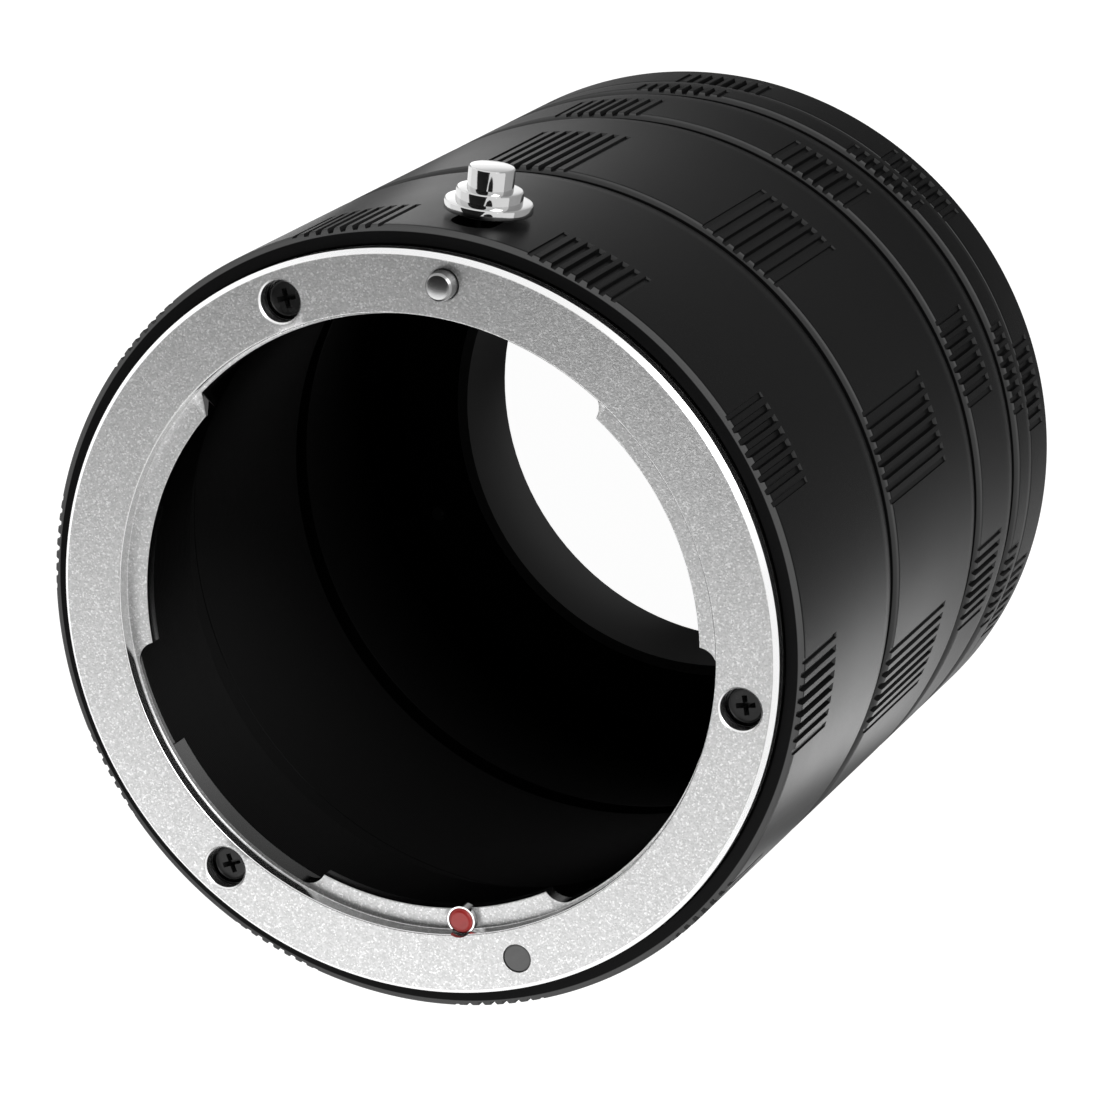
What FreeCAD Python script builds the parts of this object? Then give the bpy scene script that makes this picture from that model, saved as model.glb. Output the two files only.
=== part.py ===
import FreeCAD, Part
import math
import os

# A set of screw-together macro extension tubes, standing on its camera end.
# Millimetres. +Z is the optical axis and points from the camera to the lens, the
# origin is on the axis at the free end of the camera bayonet, and +Y points to the
# release stud. Angles run anticlockwise from +X, seen from the lens end.

V = FreeCAD.Vector
AXIS = V(0, 0, 1)
EPS = 0.01
OVERCUT = 1.0

# Driving dimensions: the throat of the bayonet, and the widths built outward from it
throat_r = 23.5
face_width = 5.0
rim_wall = 1.5
socket_wall = 1.5
spigot_wall = 1.3

# Driving dimensions: lengths that show between the joints, from the camera end
spigot_drop = 5.3
plate_show = 1.0
camera_barrel_len = 5.0
adapter_len = 3.3
short_tube_len = 10.4
long_tube_len = 21.6
lens_section_len = 23.7
ring_proud = 1.5

# Screwed joints: the spigot on one section and the socket in the next
thread_gap = 0.08
spigot_len = 3.5
spigot_relief = 0.1
long_tube_relief = 2.0
barrel_spigot_len = 2.4
barrel_spigot_relief = 0.05
adapter_relief_start = 2.9
adapter_relief_width = 1.5
adapter_relief_depth = 0.5

# Outer finish of each section: sharp front rim, rounded rear shoulder
shoulder_len = 3.2
shoulder_drop = 0.75
joint_break = 0.15

# Grip grooves, cut by one gang cutter to a common plane
patch_count = 10
grooves_per_patch = 8
groove_pitch = 1.0
groove_depth = 0.36
groove_floor = 0.36
groove_side_angle = 20.0
lens_groove_len = 7.3
long_groove_len = 13.6
short_groove_len = 6.1
adapter_groove_len = 2.4
barrel_groove_len = 3.6
lens_patch_turn = -2.0
long_patch_turn = 23.0
short_patch_turn = 27.3
adapter_patch_turn = 21.3
barrel_patch_turn = 17.1

# Female bayonet ring on the lens side
ring_seat_gap = 0.06
ring_thick = 3.2
ring_chamfer = 0.5
throat_step = 0.25
tab_width = 1.4
tab_depth = 1.2
tab_thick = 1.25
tab_cutter_r = 1.5
tab_spans = [(5.8, 54.4), (141.0, 194.1), (253.2, 301.3)]
square_tab = 1
square_tab_skew = 2.9
ramp_end = 166.9
ramp_edge = 0.35
ramp_width = 1.2
relief_span = (194.6, 214.4)
relief_depth = 1.35
relief_width = 0.9

# Screws of the two bayonets
screw_inset = 2.6
screw_head_r = 1.45
screw_head_h = 0.8
screw_sunk = 1.2
screw_hole_r = 1.6
screw_hole_chamfer = 0.15
screw_shank_r = 0.6
screw_len = 5.4
screw_play = 0.03
screw_hole_spare = 1.0
cross_width = 0.42
cross_span = 1.8
cross_depth = 0.45
ring_screw_turns = [-3.3, 117.1, 237.1]
plate_screw_turns = [27.0, 117.0, 207.0, 297.0]

# Index dots
dot_r = 1.1
dot_play = 0.02
red_dot_inset = 0.8
red_dot_turn = -77.2
red_dot_proud = 0.65
red_dot_sunk = 0.5
dark_dot_inset = 2.4
dark_dot_turn = -67.5
dark_dot_deep = 1.2
dark_dot_sunk = 0.05

# Leaf springs under the tabs
leaf_set_back = 0.8
leaf_play = 0.1
leaf_thick = 0.3
leaf_span = 34.0

# Lens lock: pin, carriage, stud and return spring
pin_r = 1.1
pin_play = 0.06
pin_inset = 2.15
pin_turn = 87.9
pin_proud = 1.1
pin_chamfer = 0.4
pin_stem_r = 0.7
pin_in_carriage = 2.2
lock_travel = 1.6
carriage_inset = 1.0
carriage_deep = 2.8
carriage_width = 6.4
carriage_len = 6.4
pocket_play = 0.1
pocket_len = 10.3
stud_depth = 7.6
stem_r = 1.0
stem_in_carriage = 1.4
stem_play = 0.03
stud_lift = 0.35
stud_flange_r, stud_flange_h = 3.3, 0.75
stud_step_r, stud_step_h = 2.5, 0.9
stud_top_r, stud_top_h = 1.73, 1.65
stud_break = 0.18
slot_half_width = 1.7
slot_front_room = 2.6
slot_rear_room = 0.4
spring_r = 0.8
spring_wire = 0.3
spring_turns = 4.0

# Lens-side barrel inside
throat_clear = 1.5
lens_bore_len = 11.5

# Male bayonet on the camera side
plate_wall = 1.5
plate_play = 0.1
plate_thick = 2.2
bayonet_play = 0.2
bayonet_wall = 0.9
floor_thick = 1.1
lug_start = 0.9
lug_thick = 1.8
lug_cut_back = 7.0
lug_turn = 58.0
lock_hole_r = 1.3
lock_hole_deep = 1.6
plate_break = 0.4

# Radii worked out from the throat outward
ring_r = throat_r + face_width
body_r = ring_r + rim_wall
thread_r = body_r - socket_wall
bore_r = thread_r - spigot_wall
plate_r = body_r - plate_wall
tab_r = throat_r - tab_width
lens_bore_r = throat_r + throat_clear
screw_circle_r = ring_r - screw_inset
pin_circle_r = ring_r - pin_inset
red_dot_circle_r = tab_r + red_dot_inset
dark_dot_circle_r = ring_r - dark_dot_inset
leaf_inner_r = tab_r + leaf_set_back
leaf_outer_r = lens_bore_r - leaf_play
carriage_inner = pin_circle_r - carriage_inset
carriage_outer = carriage_inner + carriage_deep
spigot_r = tab_r - bayonet_play
spigot_bore_r = spigot_r - bayonet_wall
lug_r = throat_r - bayonet_play

# Places worked out from the sizes above
z_flange = spigot_drop
z_barrel_rear = z_flange + plate_show
z_adapter = z_barrel_rear + camera_barrel_len
z_short = z_adapter + adapter_len
z_long = z_short + short_tube_len
z_lens = z_long + long_tube_len
z_face = z_lens + lens_section_len
z_rim = z_face - ring_proud
z_shelf = z_face - ring_thick
z_tab = z_face - tab_depth
z_tab_low = z_tab - tab_thick
thread_hole_r = thread_r + thread_gap
patch_step = 360.0 / patch_count
tapped_r = screw_shank_r + screw_play
shoulder_r = (shoulder_len ** 2 + shoulder_drop ** 2) / (2 * shoulder_drop)
z_pocket_end = z_shelf - pocket_len
pocket_inner = carriage_inner - pocket_play
pocket_outer = carriage_outer + pocket_play
z_carriage_end = z_shelf - carriage_len
carriage_mid = (carriage_inner + carriage_outer) / 2
z_stud = z_face - stud_depth
plate_seat_r = plate_r + plate_play
z_plate_seat = z_flange + plate_thick
z_floor = z_plate_seat + floor_thick


def polar(radius, turn, z=0.0):
    angle = math.radians(turn)
    return V(radius * math.cos(angle), radius * math.sin(angle), z)


def cylinder(radius, z_low, z_high, centre=V(0, 0, 0)):
    return Part.makeCylinder(radius, z_high - z_low, V(centre.x, centre.y, z_low), AXIS)


def tube(inner, outer, z_low, z_high):
    return cylinder(outer, z_low, z_high).cut(cylinder(inner, z_low - OVERCUT, z_high + OVERCUT))


def turned(outline):
    """Turn a closed outline of (radius, z) corners about the optical axis.

    A corner given as ("arc", middle, end) is reached by an arc through middle.
    """
    edges = []
    here = V(outline[0][0], 0, outline[0][1])
    for corner in outline[1:] + [outline[0]]:
        if corner[0] == "arc":
            middle = V(corner[1][0], 0, corner[1][1])
            there = V(corner[2][0], 0, corner[2][1])
            edges.append(Part.Arc(here, middle, there).toShape())
        else:
            there = V(corner[0], 0, corner[1])
            edges.append(Part.LineSegment(here, there).toShape())
        here = there
    face = Part.Face(Part.Wire(edges))
    return face.revolve(V(0, 0, 0), AXIS, 360)


def shoulder(z_rear):
    """The two outline corners of a rear shoulder that rounds in from the cylinder."""
    half = 0.5 * math.asin(shoulder_len / shoulder_r)
    middle = (body_r - shoulder_r * (1 - math.cos(half)),
              z_rear + shoulder_len - shoulder_r * math.sin(half))
    return [(body_r, z_rear + shoulder_len), ("arc", middle, (body_r - shoulder_drop, z_rear))]


def grip_cutter(z_front, length, turn):
    """All grooves of one section: flat-floored, open at the front, in patches round the rim."""
    low = body_r - groove_depth
    top = body_r + EPS
    half_low = groove_floor / 2
    half_top = half_low + (top - low) * math.tan(math.radians(groove_side_angle))
    first = -(grooves_per_patch - 1) * groove_pitch / 2
    cuts = []
    for patch in range(patch_count):
        for number in range(grooves_per_patch):
            x = first + number * groove_pitch
            corners = [V(x - half_low, low, 0), V(x + half_low, low, 0),
                       V(x + half_top, top, 0), V(x - half_top, top, 0)]
            face = Part.Face(Part.makePolygon(corners + corners[:1]))
            cut = face.extrude(V(0, 0, length + OVERCUT))
            cut.translate(V(0, 0, z_front - length))
            cut.rotate(V(0, 0, 0), AXIS, turn + patch * patch_step - 90)
            cuts.append(cut)
    return Part.makeCompound(cuts)


def screwed_tube(z_rear, z_front, socket_relief, spigot):
    """Outline of a tube: socket at the rear, bore, spigot at the front."""
    socket_top = z_rear + spigot_len + socket_relief
    return [
        (thread_hole_r, z_rear),
        (thread_hole_r, socket_top),
        (bore_r, socket_top),
        (bore_r, z_front + spigot),
        (thread_r, z_front + spigot),
        (thread_r, z_front),
        (body_r, z_front),
    ]


def plain_tube(z_rear, z_front, socket_relief, groove_len, patch_turn):
    outline = screwed_tube(z_rear, z_front, socket_relief, spigot_len) + shoulder(z_rear)
    return turned(outline).cut(grip_cutter(z_front, groove_len, patch_turn))


def adapter_ring():
    """The narrow ring between the short tube and the camera-side barrel."""
    socket_top = z_adapter + barrel_spigot_len + barrel_spigot_relief
    relief_r = bore_r + adapter_relief_depth
    relief_low = z_adapter + adapter_relief_start
    relief_top = relief_low + adapter_relief_width
    body = turned([
        (thread_hole_r, z_adapter),
        (thread_hole_r, socket_top),
        (bore_r, socket_top),
        (bore_r, relief_low),
        (relief_r, relief_low),
        (relief_r, relief_top),
        (bore_r, relief_top),
        (bore_r, z_short + spigot_len),
        (thread_r, z_short + spigot_len),
        (thread_r, z_short),
        (body_r, z_short),
        (body_r, z_adapter + joint_break),
        (body_r - joint_break, z_adapter),
    ])
    return body.cut(grip_cutter(z_short, adapter_groove_len, adapter_patch_turn))


def camera_barrel():
    """The last black section: carries the male bayonet plate in a seat at its rear."""
    spigot_top = z_adapter + barrel_spigot_len
    body = turned([
        (plate_seat_r, z_barrel_rear),
        (plate_seat_r, z_plate_seat),
        (spigot_r + plate_play, z_plate_seat),
        (spigot_r + plate_play, z_floor),
        (bore_r, z_floor),
        (bore_r, spigot_top),
        (thread_r, spigot_top),
        (thread_r, z_adapter),
        (body_r, z_adapter),
        (body_r, z_barrel_rear + plate_break),
        (body_r - plate_break, z_barrel_rear),
    ])
    for turn in plate_screw_turns:
        body = body.cut(cylinder(tapped_r, z_plate_seat - OVERCUT, z_floor + OVERCUT,
                                 polar(screw_circle_r, turn)))
    return body.cut(grip_cutter(z_adapter, barrel_groove_len, barrel_patch_turn))


def lock_frame(shape):
    """Carry a shape modelled about the +Y radius round to the lock's own angle."""
    shape.rotate(V(0, 0, 0), AXIS, pin_turn - 90)
    return shape


def lens_barrel():
    """The front section: seat for the bayonet ring, lock pocket, stud slot, tapped holes."""
    socket_top = z_lens + spigot_len + spigot_relief
    z_step = z_shelf - lens_bore_len
    outline = [
        (thread_hole_r, z_lens),
        (thread_hole_r, socket_top),
        (bore_r, socket_top),
        (bore_r, z_step),
        (lens_bore_r, z_step),
        (lens_bore_r, z_shelf),
        (ring_r + ring_seat_gap, z_shelf),
        (ring_r + ring_seat_gap, z_rim),
        (body_r, z_rim),
    ]
    body = turned(outline + shoulder(z_lens))
    body = body.cut(grip_cutter(z_rim, lens_groove_len, lens_patch_turn))
    width = carriage_width + 2 * pocket_play
    pocket = Part.makeBox(width, pocket_outer - pocket_inner, pocket_len + OVERCUT,
                          V(-width / 2, pocket_inner, z_pocket_end))
    body = body.cut(lock_frame(pocket))
    slot_front = z_stud + slot_front_room
    slot_rear = z_stud - lock_travel - stem_r - slot_rear_room + slot_half_width
    reach = body_r + OVERCUT - carriage_mid
    ends = [Part.makeCylinder(slot_half_width, reach, V(0, carriage_mid, z), V(0, 1, 0))
            for z in (slot_front, slot_rear)]
    middle = Part.makeBox(2 * slot_half_width, reach, slot_front - slot_rear,
                          V(-slot_half_width, carriage_mid, slot_rear))
    body = body.cut([ends[0], ends[1], middle])
    for turn in ring_screw_turns:
        hole_low = z_face - screw_sunk - screw_head_h - screw_len - screw_hole_spare
        body = body.cut(cylinder(tapped_r, hole_low, z_shelf + OVERCUT,
                                 polar(screw_circle_r, turn)))
    return body


def sector(radius, z_low, z_high, start, stop):
    """A slice of a cylinder between two angles."""
    piece = Part.makeCylinder(radius, z_high - z_low, V(0, 0, z_low), AXIS, (stop - start) % 360)
    piece.rotate(V(0, 0, 0), AXIS, start)
    return piece


def slanting_end(start):
    """The wedge off the end of the square tab, from its root to its inner corner."""
    root = polar(throat_r, start, z_tab_low)
    corner = polar(tab_r, start + square_tab_skew, z_tab_low)
    past_corner = root + (corner - root) * 1.5
    inside = polar(tab_r - OVERCUT, start, z_tab_low)
    face = Part.Face(Part.makePolygon([root, past_corner, inside, root]))
    return face.extrude(V(0, 0, tab_thick))


def tab_gaps():
    """What the milling cutter takes out of the tab flange, with its own radius at each end.

    One tab starts with a straight slanting end, without the cutter's radius.
    """
    cutter_circle_r = throat_r - tab_cutter_r
    lead = math.degrees(tab_cutter_r / cutter_circle_r)
    gaps = []
    for number, span in enumerate(tab_spans):
        following = (number + 1) % len(tab_spans)
        start = span[1] + lead
        rounded = [start]
        stop = tab_spans[following][0]
        if following == square_tab:
            gaps.append(slanting_end(stop))
        else:
            stop -= lead
            rounded.append(stop)
        gaps.append(sector(throat_r, z_tab_low, z_tab, start, stop))
        for turn in rounded:
            gaps.append(cylinder(tab_cutter_r, z_tab_low, z_tab, polar(cutter_circle_r, turn)))
    return gaps


def lead_in():
    """The slope under the square end of one tab, where a lens lug slides in."""
    start = tab_spans[square_tab][0]
    slope = Part.makeCone(tab_r + ramp_width, tab_r, tab_thick - ramp_edge,
                          V(0, 0, z_tab_low), AXIS, ramp_end - start)
    slope.rotate(V(0, 0, 0), AXIS, start)
    return slope


def lens_mount_ring():
    """Female bayonet: blasted face, throat wall and three tabs set back from the face."""
    body = turned([
        (throat_r, z_shelf),
        (throat_r, z_tab),
        (throat_r + throat_step, z_tab),
        (throat_r + throat_step, z_face),
        (ring_r - ring_chamfer, z_face),
        (ring_r, z_face - ring_chamfer),
        (ring_r, z_shelf),
    ])
    flange = tube(tab_r, throat_r + EPS, z_tab_low, z_tab)
    body = body.fuse(flange.cut(tab_gaps() + [lead_in()]))
    body = body.cut(sector(throat_r + relief_width, z_shelf - OVERCUT, z_face - relief_depth,
                           *relief_span))
    for turn in ring_screw_turns:
        place = polar(screw_circle_r, turn)
        seat = z_face - screw_sunk - screw_head_h
        rim = Part.makeCone(screw_hole_r, screw_hole_r + screw_hole_chamfer, screw_hole_chamfer,
                            V(place.x, place.y, z_face - screw_hole_chamfer), AXIS)
        body = body.cut([cylinder(screw_hole_r, seat, z_face + OVERCUT, place), rim,
                         cylinder(tapped_r, z_shelf - OVERCUT, seat + EPS, place)])
    body = body.cut(cylinder(pin_r + pin_play, z_shelf - OVERCUT, z_face + OVERCUT,
                             polar(pin_circle_r, pin_turn)))
    red_seat = cylinder(dot_r + dot_play, z_tab - red_dot_sunk, z_face + OVERCUT,
                        polar(red_dot_circle_r, red_dot_turn))
    dark_seat = cylinder(dot_r + dot_play, z_face - dark_dot_deep, z_face + OVERCUT,
                         polar(dark_dot_circle_r, dark_dot_turn))
    return body.cut([red_seat, dark_seat]).removeSplitter()


def cross_screw(length):
    """A pan-head screw along +Z, its seat at z = 0 and its head above."""
    head = Part.makeCylinder(screw_head_r, screw_head_h)
    head = head.makeChamfer(screw_head_h / 4, [head.Edges[0]])
    shank = Part.makeCylinder(screw_shank_r, length, V(0, 0, -length))
    for size in ((cross_span, cross_width), (cross_width, cross_span)):
        corner = V(-size[0] / 2, -size[1] / 2, screw_head_h - cross_depth)
        head = head.cut(Part.makeBox(size[0], size[1], cross_depth + OVERCUT, corner))
    return head.fuse(shank)


def ring_screw(turn):
    screw = cross_screw(screw_len)
    screw.translate(polar(screw_circle_r, turn, z_face - screw_sunk - screw_head_h))
    return screw


def plate_screw(turn):
    screw = cross_screw(plate_screw_len)
    screw.rotate(V(0, 0, 0), V(1, 0, 0), 180)
    screw.translate(polar(screw_circle_r, turn, z_flange + screw_head_h + EPS))
    return screw


def camera_bayonet():
    """Male bayonet: plate, spigot and three lugs, bored through."""
    body = turned([
        (spigot_bore_r, 0),
        (spigot_bore_r, z_floor),
        (spigot_r, z_floor),
        (spigot_r, z_plate_seat),
        (plate_r, z_plate_seat),
        (plate_r, z_flange + plate_break),
        (plate_r - plate_break, z_flange),
        (spigot_r, z_flange),
        (spigot_r, 0),
    ])
    for number, span in enumerate(tab_spans):
        start = span[1] + lug_cut_back
        stop = tab_spans[(number + 1) % len(tab_spans)][0] - lug_cut_back
        lug = sector(lug_r, lug_start, lug_start + lug_thick, start + lug_turn, stop + lug_turn)
        body = body.fuse(lug.cut(cylinder(spigot_r - EPS, 0, z_flange)))
    for turn in plate_screw_turns:
        place = polar(screw_circle_r, turn)
        body = body.cut([cylinder(screw_hole_r, 0, z_flange + screw_head_h + EPS, place),
                         cylinder(tapped_r, z_flange, z_plate_seat + OVERCUT, place)])
    body = body.cut(cylinder(lock_hole_r, 0, z_flange + lock_hole_deep,
                             polar(pin_circle_r, pin_turn + lug_turn)))
    return body.removeSplitter()


def leaf_spring(span):
    middle = (span[0] + span[1]) / 2
    leaf = Part.makeCylinder(leaf_outer_r, leaf_thick, V(0, 0, z_shelf - leaf_thick), AXIS, leaf_span)
    leaf = leaf.cut(cylinder(leaf_inner_r, z_shelf - OVERCUT, z_shelf + OVERCUT))
    leaf.rotate(V(0, 0, 0), AXIS, middle - leaf_span / 2)
    return leaf


def index_dot(low, high, circle_r, turn):
    return cylinder(dot_r, low, high, polar(circle_r, turn))


def lock_pin():
    """A chamfered pin that steps down below the ring to a stem held in the carriage."""
    top = z_face + pin_proud
    pin = turned([
        (0, z_shelf - pin_in_carriage),
        (pin_stem_r, z_shelf - pin_in_carriage),
        (pin_stem_r, z_shelf),
        (pin_r, z_shelf),
        (pin_r, top - pin_chamfer),
        (pin_r - pin_chamfer, top),
        (0, top),
    ])
    pin.translate(polar(pin_circle_r, pin_turn))
    return pin


def pin_carriage():
    block = Part.makeBox(carriage_width, carriage_outer - carriage_inner, carriage_len,
                         V(-carriage_width / 2, carriage_inner, z_carriage_end))
    block = lock_frame(block)
    pin_hole = cylinder(pin_stem_r + stem_play, z_shelf - pin_in_carriage, z_shelf + OVERCUT,
                        polar(pin_circle_r, pin_turn))
    stem_hole = Part.makeCylinder(stem_r + stem_play, stem_in_carriage + OVERCUT,
                                  V(0, carriage_outer - stem_in_carriage, z_stud), V(0, 1, 0))
    return block.cut([pin_hole, stem_hole])


def release_stud():
    """Three plain steps on a stem, turned about its own radial axis."""
    base = body_r + stud_lift
    steps = [(stud_flange_r, stud_flange_h), (stud_step_r, stud_step_h), (stud_top_r, stud_top_h)]
    stem_low = carriage_outer - stem_in_carriage
    corners = [V(0, stem_low, 0), V(stem_r, stem_low, 0), V(stem_r, base, 0)]
    level = base
    for radius, height in steps:
        corners.append(V(radius, level, 0))
        level += height
        corners.append(V(radius, level - stud_break, 0))
        corners.append(V(radius - stud_break, level, 0))
    corners.append(V(0, level, 0))
    face = Part.Face(Part.makePolygon(corners + corners[:1]))
    stud = face.revolve(V(0, 0, 0), V(0, 1, 0), 360)
    stud.translate(V(0, 0, z_stud))
    return stud


def lock_spring():
    """Compression spring between the carriage and the end of its pocket."""
    room = z_carriage_end - z_pocket_end - spring_wire
    pitch = room / spring_turns
    helix = Part.makeHelix(pitch, room, spring_r)
    half = spring_wire / 2
    corners = [V(spring_r - half, 0, -half), V(spring_r + half, 0, -half),
               V(spring_r + half, 0, half), V(spring_r - half, 0, half)]
    wire = Part.Wire(helix)
    coil = wire.makePipeShell([Part.makePolygon(corners + corners[:1])], True, True)
    coil.translate(V(0, carriage_mid, z_pocket_end + half))
    return lock_frame(coil)


plate_screw_len = plate_thick - screw_head_h + floor_thick - EPS


def build():
    nodes = {
        "camera_bayonet": camera_bayonet(),
        "camera_side_barrel": camera_barrel(),
        "adapter_ring": adapter_ring(),
        "short_tube": plain_tube(z_short, z_long, spigot_relief,
                                 short_groove_len, short_patch_turn),
        "long_tube": plain_tube(z_long, z_lens, long_tube_relief,
                                long_groove_len, long_patch_turn),
        "lens_side_barrel": lens_barrel(),
        "lens_mount_ring": lens_mount_ring(),
        "red_index_dot": index_dot(z_tab - red_dot_sunk, z_tab + red_dot_proud,
                                   red_dot_circle_r, red_dot_turn),
        "dark_index_dot": index_dot(z_face - dark_dot_deep, z_face - dark_dot_sunk,
                                    dark_dot_circle_r, dark_dot_turn),
        "lock_pin": lock_pin(),
        "pin_carriage": pin_carriage(),
        "release_stud": release_stud(),
        "lock_spring": lock_spring(),
    }
    for number, turn in enumerate(ring_screw_turns, 1):
        nodes[f"ring_screw_{number}"] = ring_screw(turn)
    for number, turn in enumerate(plate_screw_turns, 1):
        nodes[f"plate_screw_{number}"] = plate_screw(turn)
    for number, span in enumerate(tab_spans, 1):
        nodes[f"leaf_spring_{number}"] = leaf_spring(span)
    return nodes


os.makedirs("parts", exist_ok=True)
for name, shape in build().items():
    shape.exportStep(f"parts/{name}.step")
    print(name, "solids", len(shape.Solids), "valid", shape.isValid(), "mm3", round(shape.Volume, 2))
print("camera flange to ring face", round(z_face - z_flange, 3), "mm")
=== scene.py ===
# %% [markdown]
# # A macro extension tube set
#
# Five black tubes screw together into one hollow barrel. A silver bayonet ring takes the
# lens in front, and a bayonet spigot behind goes into the camera. The solids come from the
# frame. This lesson gives them the edges, threads, screws and finishes that they lack, then
# lights them like a catalogue picture on white.

# %% Open the frame
import math

import bmesh
import bpy
from mathutils import Matrix, Vector


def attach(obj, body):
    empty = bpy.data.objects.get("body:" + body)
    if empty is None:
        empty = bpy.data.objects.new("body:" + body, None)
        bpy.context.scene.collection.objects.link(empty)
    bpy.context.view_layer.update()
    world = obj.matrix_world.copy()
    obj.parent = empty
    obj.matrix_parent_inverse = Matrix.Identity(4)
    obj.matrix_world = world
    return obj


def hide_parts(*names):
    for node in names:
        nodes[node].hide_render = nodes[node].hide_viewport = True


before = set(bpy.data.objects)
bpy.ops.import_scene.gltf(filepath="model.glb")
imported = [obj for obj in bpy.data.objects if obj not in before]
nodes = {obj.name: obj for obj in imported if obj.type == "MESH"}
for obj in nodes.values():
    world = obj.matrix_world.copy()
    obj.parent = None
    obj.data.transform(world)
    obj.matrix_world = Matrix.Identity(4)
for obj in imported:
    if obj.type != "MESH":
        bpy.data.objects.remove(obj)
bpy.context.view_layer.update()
MM = 0.001

# %% [markdown]
# ## Sizes
#
# The solids were drawn in millimetres, so the sizes here are in millimetres too, and one
# helper turns them into metres. Heights are measured up the optical axis from the table.
# Angles run anticlockwise from +X, seen from the lens.

# %% Heights and radii of the barrel
BODY_R = 30.0
BORE_R = 27.2
THREAD_R = 28.5
THREAD_HOLE_R = 28.58
SPIGOT = 3.5
FLANGE_Z = 5.3
FACE_Z = 70.3
RIM_Z = 68.8
SHELF_Z = 67.1
SECTION_Z = {"camera_side_barrel": 6.3, "adapter_ring": 11.3, "short_tube": 14.6,
             "long_tube": 25.0, "lens_side_barrel": 46.6}
AXIS = Vector((0, 0, 1))


def metres(x, y, z):
    return Vector((x * MM, y * MM, z * MM))


def polar(radius, turn, z=0.0):
    angle = math.radians(turn)
    return metres(radius * math.cos(angle), radius * math.sin(angle), z)


print("overall height", FACE_Z, "mm, joints at", list(SECTION_Z.values()))

# %% [markdown]
# ## Turning a tube
#
# Every black section is turned on a lathe. `bmesh.ops.spin` does the same: a closed outline
# of a few corners is swept once round the axis and merged where it meets itself. A sharp
# turned corner always carries a small break, and that break is what catches the light in
# the picture, so chosen rings of edges get a real bevel.

# %% The lathe
TURN_STEPS = 360


def turned(corners, breaks=(), steps=TURN_STEPS, closed=True):
    """A bmesh of the outline (radius, z) spun about the axis.

    Each break (radius, z, size) rounds one ring of edges. An outline that starts and ends on
    the axis is left open, and its points there are merged.
    """
    bm = bmesh.new()
    verts = [bm.verts.new(metres(r, 0, z)) for r, z in corners]
    edges = [bm.edges.new(pair) for pair in zip(verts, verts[1:] + (verts[:1] if closed else []))]
    bmesh.ops.spin(bm, geom=verts + edges, cent=(0, 0, 0), axis=AXIS,
                   angle=math.tau, steps=steps, use_merge=True)
    if not closed:
        bmesh.ops.remove_doubles(bm, verts=bm.verts, dist=1e-7)
    bmesh.ops.recalc_face_normals(bm, faces=bm.faces)
    for radius, z, size in breaks:
        rings = [e for e in bm.edges if on_ring(e, radius, z)]
        bmesh.ops.bevel(bm, geom=rings, offset=size * MM, offset_type="OFFSET", segments=3,
                        profile=0.5, affect="EDGES", material=-1)
    return bm


def on_ring(edge, radius, z):
    """True where both ends of an edge lie on the circle of that radius at that height."""
    return all(abs(v.co.z - z * MM) < 1e-6 and abs(v.co.xy.length - radius * MM) < 1e-6
               for v in edge.verts)


def shoulder(z_rear, length=3.2, drop=0.75, points=7):
    """Corners of a rear edge that rounds in from the barrel to the joint."""
    radius = (length ** 2 + drop ** 2) / (2 * drop)
    whole = math.asin(length / radius)
    corners = []
    for step in range(points):
        lean = whole * step / (points - 1)
        corners.append((BODY_R - radius * (1 - math.cos(lean)),
                        z_rear + length - radius * math.sin(lean)))
    return corners


print("one turn is", TURN_STEPS, "steps")

# %% [markdown]
# ## Cutting with other shapes
#
# Grooves, slots and holes are cut after turning, as in the workshop. A Boolean modifier
# takes the shape of a cutter away, and the result is written back to the mesh. The exact
# solver copes with cutters that touch. Many cutters of one kind share one mesh.

# %% Cut, smooth and hand over
SMOOTH_LIMIT = math.radians(28)


def new_object(name, bm):
    mesh = bpy.data.meshes.new(name)
    bm.to_mesh(mesh)
    bm.free()
    obj = bpy.data.objects.new(name, mesh)
    bpy.context.scene.collection.objects.link(obj)
    return obj


def cut(obj, cutter_bm):
    """Takes the cutter's shape out of obj and keeps the result as plain mesh."""
    tool = new_object("cutter", cutter_bm)
    knife = obj.modifiers.new("knife", "BOOLEAN")
    knife.object = tool
    knife.operation = "DIFFERENCE"
    knife.solver = "EXACT"
    graph = bpy.context.evaluated_depsgraph_get()
    result = bpy.data.meshes.new_from_object(obj.evaluated_get(graph))
    obj.modifiers.clear()
    obj.data = result
    bpy.data.objects.remove(tool)


def soften(obj):
    """Smooth shading that stays crisp where two faces meet at a real corner."""
    bm = bmesh.new()
    bm.from_mesh(obj.data)
    for face in bm.faces:
        face.smooth = True
    for edge in bm.edges:
        edge.smooth = len(edge.link_faces) == 2 and edge.calc_face_angle(0) < SMOOTH_LIMIT
    bm.to_mesh(obj.data)
    bm.free()


def finish_piece(obj, body, material, slot, *stands_for):
    """Shading, finish and the body it rides on, for one finished piece.

    Weighted normals keep the large faces flat, so that only the small breaks look round.
    """
    soften(obj)
    obj.modifiers.new("flat faces", "WEIGHTED_NORMAL").keep_sharp = True
    obj.data.materials.clear()
    obj.data.materials.append(material)
    if stands_for:
        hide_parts(*stands_for)
    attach(obj, body)
    print(obj.name, "faces", len(obj.data.polygons), "rides", body)


# %% [markdown]
# ## Cutter shapes
#
# Four simple tools are enough: a bar with sloping sides for the grooves, a round drill, a
# box, and an outline swept part of the way round for the gaps of the bayonet. A cutter always
# runs a little past the surface that it opens, because two faces in one plane confuse the
# Boolean.

# %% The four cutters
GROOVE_DEPTH = 0.36
GROOVE_FLOOR = 0.36
GROOVE_SIDE_ANGLE = 20.0
GROOVE_PITCH = 1.0
GROOVES_IN_PATCH = 8
PATCHES = 10
ABOVE = 0.2
BEYOND = 0.5


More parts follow.
